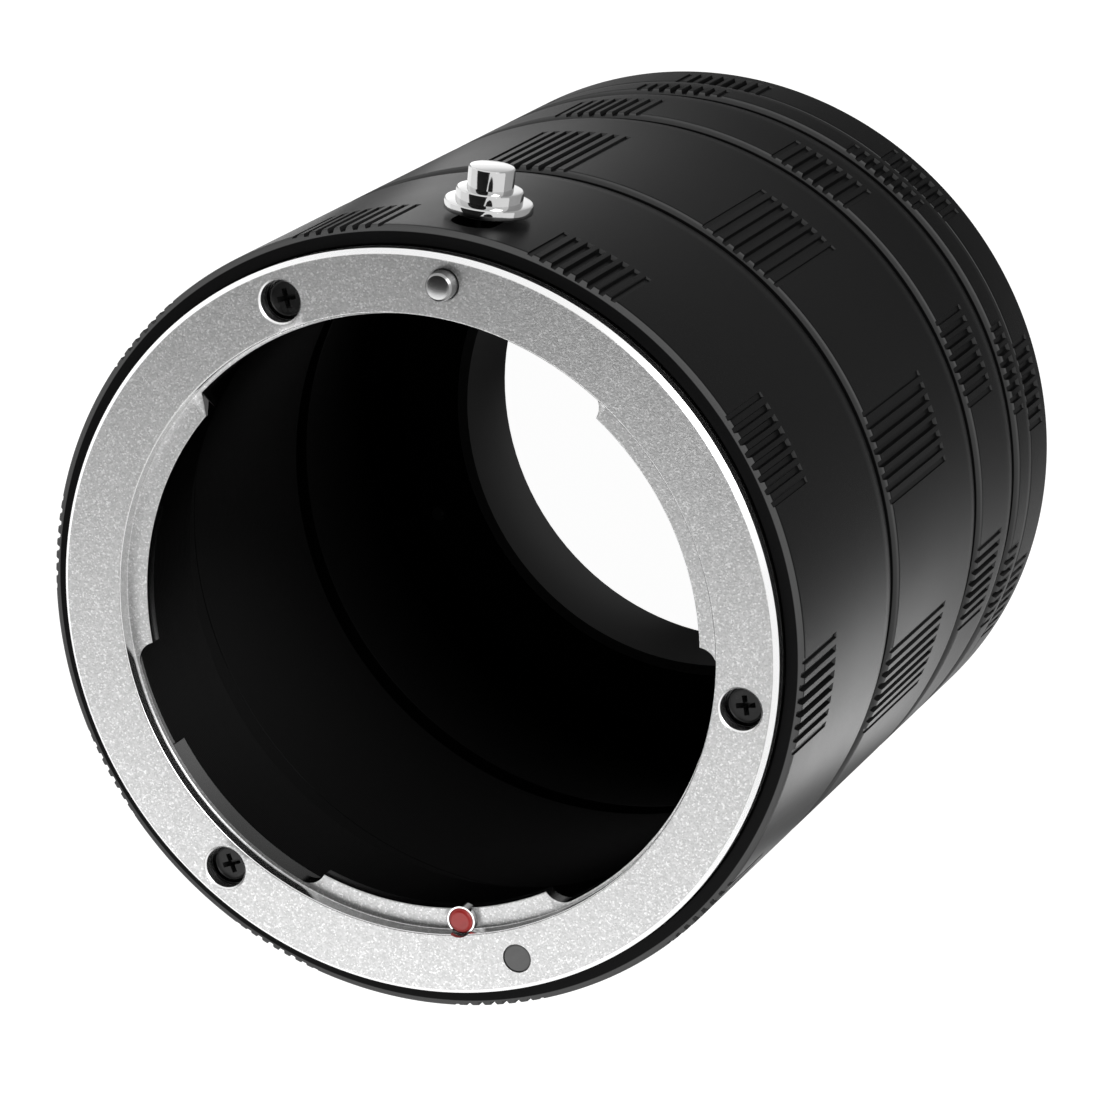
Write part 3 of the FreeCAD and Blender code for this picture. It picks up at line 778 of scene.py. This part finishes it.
def cross_screw(name, place, shank_len, body, node):
    """A pan head with a tapered cross, its seat at z = 0, moved to its place."""
    bm = bmesh.new()
    add_drill(bm, Vector((0, 0, 0)), HEAD_R, HEAD_H)
    top = [e for e in bm.edges if all(v.co.z > HEAD_H * MM * 0.9 for v in e.verts)
           and len(e.link_faces) == 2]
    bmesh.ops.bevel(bm, geom=top, offset=0.28 * MM, offset_type="OFFSET", segments=5,
                    profile=0.5, affect="EDGES", material=-1)
    screw = new_object(name, bm)
    for turn in (20.0, 110.0):
        slot_bm = bmesh.new()
        add_box(slot_bm, (-1.0, -0.26, 0.12), (1.0, 0.26, 1.2), turn)
        for vert in slot_bm.verts:
            if vert.co.z < 0.5 * MM:
                vert.co.xy *= 0.35
        cut(screw, slot_bm)
    bm = bmesh.new()
    bm.from_mesh(screw.data)
    add_drill(bm, metres(0, 0, -shank_len), SHANK_R, shank_len - 0.01, segments=24)
    bmesh.ops.transform(bm, matrix=place, verts=bm.verts)
    bm.to_mesh(screw.data)
    bm.free()
    finish_piece(screw, body, screw_black, "black_steel", node)


for number, turn in enumerate(RING_SCREW_TURNS, 1):
    spot = Matrix.Translation(polar(SCREW_CIRCLE_R, turn, SCREW_SEAT_Z))
    spin = Matrix.Rotation(math.radians(turn * 2.3), 4, "Z")
    cross_screw(f"ring_screw_{number}_head", spot @ spin, 5.3, "lens_side", f"ring_screw_{number}")
flip = Matrix.Rotation(math.pi, 4, "X")
for number, turn in enumerate(PLATE_SCREW_TURNS, 1):
    spot = Matrix.Translation(polar(SCREW_CIRCLE_R, turn, FLANGE_Z + HEAD_H + 0.01))
    spin = Matrix.Rotation(math.radians(turn * 1.7), 4, "Z")
    cross_screw(f"plate_screw_{number}_head", spot @ flip @ spin, 2.4, "camera_side",
                f"plate_screw_{number}")

# %% [markdown]
# ## Index dots
#
# The red dot is a bead of enamel in a thin metal collar, standing on a tab. The dark one is
# a flat drop of enamel in the ring's face. A bead is a short cylinder whose top edge is
# rounded over until almost nothing flat is left.

# %% Enamel
def enamel(name, low, high, rough):
    material, tree, shader, place = new_material(name)
    touch = use_group(tree, handling, Vector=place, Size=0.0008)["Smear"]
    tree.links.new(blend_colours(tree, touch, low, high), shader.inputs["Base Color"])
    tree.links.new(spread(tree, touch, rough, rough + 0.15), shader.inputs["Roughness"])
    return material


red = enamel("red_enamel", (0.3, 0.012, 0.012, 1), (0.48, 0.03, 0.025, 1), 0.25)
dark_grey = enamel("dark_grey_enamel", (0.06, 0.06, 0.06, 1), (0.13, 0.13, 0.13, 1), 0.3)


def bead(name, foot, radius, height, rounding, material, slot, node):
    bm = bmesh.new()
    add_drill(bm, foot, radius, height)
    crown = [e for e in bm.edges if all(v.co.z > foot.z + height * MM * 0.9 for v in e.verts)]
    bmesh.ops.bevel(bm, geom=crown, offset=rounding * MM, offset_type="OFFSET", segments=8,
                    profile=0.5, affect="EDGES", material=-1)
    finish_piece(new_object(name, bm), "lens_side", material, slot, node)


bead("red_dot_enamel", polar(RED_CIRCLE_R, RED_TURN, TAB_TOP - 0.5), DOT_R - 0.12, 1.15, 0.35,
     red, "red_enamel", "red_index_dot")
bead("dark_dot_enamel", polar(DARK_CIRCLE_R, DARK_TURN, FACE_Z - 1.2), DOT_R, 1.12, 0.15,
     dark_grey, "grey_enamel", "dark_index_dot")

# %% Collar of the red dot
collar_bm = bmesh.new()
add_drill(collar_bm, polar(RED_CIRCLE_R, RED_TURN, TAB_TOP - 0.5), DOT_R, 1.0)
collar = new_object("red_dot_collar", collar_bm)
hollow = bmesh.new()
add_drill(hollow, polar(RED_CIRCLE_R, RED_TURN, TAB_TOP - 1), DOT_R - 0.12, 3)
cut(collar, hollow)
finish_piece(collar, "lens_side", chrome, "blasted_steel")

# %% [markdown]
# ## The lens lock
#
# The pin and the stud are plated and mirror bright, so their edges need true rounding: a
# mirror shows every flat. Both are turned about the optical axis first. The stud is then
# laid down, so that its own axis points out of the barrel.

# %% Pin and stud
LOCK_STEPS = 96
STUD_Z = FACE_Z - 7.6
CARRIAGE_OUTER = 28.15
PIN_TOP = FACE_Z + 1.1
pin_outline = [(0, SHELF_Z - 2.2), (0.7, SHELF_Z - 2.2), (0.7, SHELF_Z), (PIN_R, SHELF_Z),
               (PIN_R, PIN_TOP), (0, PIN_TOP)]
pin_bm = turned(pin_outline, breaks=[(PIN_R, PIN_TOP, 0.42)], steps=LOCK_STEPS, closed=False)
bmesh.ops.translate(pin_bm, verts=pin_bm.verts, vec=polar(PIN_CIRCLE_R, PIN_TURN))
finish_piece(new_object("lock_pin_finished", pin_bm), "lens_lock", pin_chrome_painted_shade,
             "polished_chrome", "lock_pin")

stud_low = CARRIAGE_OUTER - 1.4
stud_base = BODY_R + 0.35
stud_outline = [(0, stud_low), (1.0, stud_low), (1.0, stud_base)]
stud_breaks = []
level = stud_base
for radius, height in ((3.3, 0.75), (2.5, 0.9), (1.73, 1.65)):
    stud_outline.append((radius, level))
    stud_breaks.append((radius, level, 0.08))
    level += height
    stud_outline.append((radius, level))
    stud_breaks.append((radius, level, 0.2))
stud_outline.append((0, level))
stud_bm = turned(stud_outline, breaks=stud_breaks[1::2] + stud_breaks[:1], steps=LOCK_STEPS,
                 closed=False)
outward = polar(1, PIN_TURN) / MM
laid = (Matrix.Translation(metres(0, 0, STUD_Z))
        @ AXIS.rotation_difference(outward).to_matrix().to_4x4())
bmesh.ops.transform(stud_bm, matrix=laid, verts=stud_bm.verts)
finish_piece(new_object("release_stud_finished", stud_bm), "lens_lock", chrome,
             "polished_chrome", "release_stud")

# %% [markdown]
# ## Pieces that stay as drawn
#
# The solids of the carriage, the springs and the camera bayonet already have the right
# shape. A solid arrives as loose triangles, so a small Geometry Nodes tree merges them and
# smooths across the gentle edges, and leaves the mesh of the solid itself alone.

# %% Smooth the solids that stay
smoothing = bpy.data.node_groups.new("smooth_solid", "GeometryNodeTree")
smoothing.interface.new_socket("Geometry", in_out="INPUT", socket_type="NodeSocketGeometry")
smoothing.interface.new_socket("Geometry", in_out="OUTPUT", socket_type="NodeSocketGeometry")
g_start = smoothing.nodes.new("NodeGroupInput")
g_end = smoothing.nodes.new("NodeGroupOutput")
merge = add_node(smoothing, "GeometryNodeMergeByDistance", Geometry=g_start.outputs[0],
                 Distance=0.000001)
rounded = add_node(smoothing, "GeometryNodeSetShadeSmooth", {"domain": "FACE"},
                   Geometry=merge.outputs[0])
angle = add_node(smoothing, "GeometryNodeInputMeshEdgeAngle").outputs["Unsigned Angle"]
crisp = add_node(smoothing, "FunctionNodeCompare", {"operation": "GREATER_THAN"},
                 i0=angle, i1=SMOOTH_LIMIT).outputs[0]
creased = add_node(smoothing, "GeometryNodeSetShadeSmooth", {"domain": "EDGE"},
                   Geometry=rounded.outputs[0], Selection=crisp)
creased.inputs["Shade Smooth"].default_value = False
smoothing.links.new(creased.outputs[0], g_end.inputs[0])

KEPT = {
    "camera_bayonet": plate_metal, "pin_carriage": carriage_metal, "lock_spring": spring_metal,
    "leaf_spring_1": spring_metal, "leaf_spring_2": spring_metal, "leaf_spring_3": spring_metal,
}
for node_name, material in KEPT.items():
    solid = nodes[node_name]
    solid.data.materials.clear()
    solid.data.materials.append(material)
    solid.modifiers.new("smooth", "NODES").node_group = smoothing
    print("kept", node_name, "in", material.name)

# %% [markdown]
# ## Floor, light and camera
#
# The background is pure white. For the rays that come from the camera or through glass the
# floor glows almost white, and what the lamps add keeps the tube's shadow on it. What
# reflections see of the floor is a painted reflection: its glow is brighter to the right and
# fades on the viewer's side, which keeps the near walls black; close round the tube it is dimmed
# as painted shade, and inside the tube's footprint it is brighter. Two dark cards hang over
# the set, as a photographer would hang them, and only mirrors see them: a large one shades the
# ring towards the viewer, and a small one draws a dark band on the stud. The lamps stay at a
# level at which a colour looks about as it was written.

# %% Floor
floor_bm = bmesh.new()
bmesh.ops.create_circle(floor_bm, cap_ends=True, segments=64, radius=3.0)
floor = new_object("floor", floor_bm)
paper, f_tree, f_shader, f_place = new_material("white_paper")
fibre = add_node(f_tree, "ShaderNodeTexNoise", Vector=f_place, Scale=900.0).outputs[0]
f_tree.links.new(grey_of(f_tree, spread(f_tree, fibre, 0.3, 0.32)), f_shader.inputs["Base Color"])
f_shader.inputs["Roughness"].default_value = 0.9
f_shader.inputs["Specular IOR Level"].default_value = 0.0
seen = add_node(f_tree, "ShaderNodeLightPath").outputs
seen_as_white = maths(f_tree, "MAXIMUM", seen["Is Camera Ray"], seen["Is Transmission Ray"])
f_parts = add_node(f_tree, "ShaderNodeSeparateXYZ", i0=f_place).outputs
to_viewer = maths(f_tree, "ADD", maths(f_tree, "MULTIPLY", f_parts[0], 0.743),
                  maths(f_tree, "MULTIPLY", f_parts[1], 0.669))
to_right = maths(f_tree, "SUBTRACT", maths(f_tree, "MULTIPLY", f_parts[0], 0.669),
                 maths(f_tree, "MULTIPLY", f_parts[1], 0.743))


def glow_profile(tree, distance, stops):
    """Brightness against distance towards the viewer, from a few (millimetres, value) stops."""
    low, high = stops[0][0], stops[-1][0]
    ramp = add_node(tree, "ShaderNodeValToRGB", Fac=add_node(
        tree, "ShaderNodeMapRange", Value=distance, i1=low * MM, i2=high * MM).outputs[0])
    ramp.color_ramp.interpolation = "EASE"
    while len(ramp.color_ramp.elements) < len(stops):
        ramp.color_ramp.elements.new(0.5)
    for element, (place, value) in zip(ramp.color_ramp.elements, stops):
        element.position = (place - low) / (high - low)
        element.color = (value / 4, value / 4, value / 4, 1)
    return maths(tree, "MULTIPLY", ramp.outputs[0], 4.0)


# Painted reflection: the floor's glow for mirrors, by distance towards the viewer, left and right.
RIGHT_GLOW = ((-30, 1.0), (-21, 0.9), (-15, 0.12), (-7, 0.12), (2, 3.5), (20, 3.3), (30, 1.2),
              (38, 0.3), (60, 0.22))
LEFT_GLOW = ((-30, 1.0), (-21, 0.9), (-15, 0.15), (-9, 0.2), (-3, 1.5), (8, 1.5), (18, 1.0),
             (33, 0.5), (46, 0.33), (60, 0.25))
right_side = ramp_between(f_tree, to_right, -10 * MM, 10 * MM)
from_axis = radius_of(f_tree, f_place)[0]
profile = blend(f_tree, right_side, glow_profile(f_tree, to_viewer, LEFT_GLOW),
                glow_profile(f_tree, to_viewer, RIGHT_GLOW))
# Painted shade in the reflection close round the tube, and painted light inside its footprint.
reflection_shade_near_tube = ramp_between(f_tree, from_axis, 37 * MM, 47 * MM, 0.18, 1.0)
within = ramp_between(f_tree, from_axis, 22.5 * MM, 23.5 * MM, 1.5, 1.0)
mirrored = maths(f_tree, "MULTIPLY", maths(f_tree, "MULTIPLY", profile, reflection_shade_near_tube), within)
f_glow = maths(f_tree, "ADD", maths(f_tree, "MULTIPLY", seen_as_white, 0.965),
               maths(f_tree, "MULTIPLY", seen["Is Glossy Ray"], mirrored))
f_tree.links.new(f_glow, f_shader.inputs["Emission Strength"])
f_shader.inputs["Emission Color"].default_value = (1, 1, 1, 1)
floor.data.materials.append(paper)
print("floor radius 3 m")

# %% World
world = bpy.data.worlds.new("white_room")
bpy.context.scene.world = world
world.use_nodes = True
w_tree = world.node_tree
w_path = add_node(w_tree, "ShaderNodeLightPath").outputs
w_seen = maths(w_tree, "MAXIMUM", w_path["Is Camera Ray"],
               maths(w_tree, "MAXIMUM", w_path["Is Glossy Ray"], w_path["Is Transmission Ray"]))
w_level = add_node(w_tree, "ShaderNodeMapRange", Value=w_seen, i3=0.45, i4=1.0).outputs[0]
w_tree.links.new(w_level, w_tree.nodes["Background"].inputs["Strength"])
w_tree.nodes["Background"].inputs["Color"].default_value = (1, 1, 1, 1)
print("world is white to the eye and 0.45 as a lamp")

# %% Softboxes
TARGET = metres(0, 0, 40)


def softbox(name, place, size, power):
    lamp = bpy.data.lights.new(name, "AREA")
    lamp.shape = "SQUARE"
    lamp.size = size
    lamp.energy = power
    obj = bpy.data.objects.new(name, lamp)
    obj.location = place
    obj.rotation_euler = (TARGET - obj.location).to_track_quat("-Z", "Y").to_euler()
    bpy.context.scene.collection.objects.link(obj)


softbox("key", Vector((-0.3, -0.42, 0.65)), 0.5, 1.3)
softbox("fill", Vector((0.7, 0.6, 0.6)), 0.6, 4.0)
print("two softboxes")

# %% Dark cards overhead
felt, k_tree, k_shader, k_place = new_material("black_felt")
nap = add_node(k_tree, "ShaderNodeTexNoise", Vector=k_place, Scale=300.0).outputs[0]
k_tree.links.new(grey_of(k_tree, spread(k_tree, nap, 0.015, 0.03)), k_shader.inputs["Base Color"])
k_shader.inputs["Roughness"].default_value = 0.95
for card_name, card_place, card_radius in (("ring_card", (-0.136, 0.1, 0.32), 0.2),
                                           ("stud_card", (0.11, -0.045, 0.33), 0.065)):
    card_bm = bmesh.new()
    bmesh.ops.create_circle(card_bm, cap_ends=True, segments=48, radius=card_radius)
    bmesh.ops.translate(card_bm, verts=card_bm.verts, vec=card_place)
    card = new_object(card_name, card_bm)
    card.data.materials.append(felt)
    card.visible_camera = False
    card.visible_diffuse = False
    card.visible_shadow = False
print("dark cards 0.3 m above the table")

# %% Camera
CAMERA_AT = metres(133.40, 120.51, 400.07)
RIGHT = Vector((0.92803, 0.06241, -0.36722))
UP = Vector((-0.16758, 0.95041, -0.26199))
AHEAD = Vector((-0.33266, -0.30468, -0.89248))
lens = bpy.data.cameras.new("photo_view")
lens.sensor_width = 36.0
lens.lens = 167.03
lens.clip_start = 0.01
camera = bpy.data.objects.new("photo_view", lens)
camera_turn = Matrix((RIGHT, UP, -AHEAD)).transposed().to_4x4()
camera.matrix_world = Matrix.Translation(CAMERA_AT) @ camera_turn
bpy.context.scene.collection.objects.link(camera)
bpy.context.scene.camera = camera
bpy.context.scene.view_settings.view_transform = "Standard"
print("camera", round((CAMERA_AT - TARGET).length, 3), "m away")
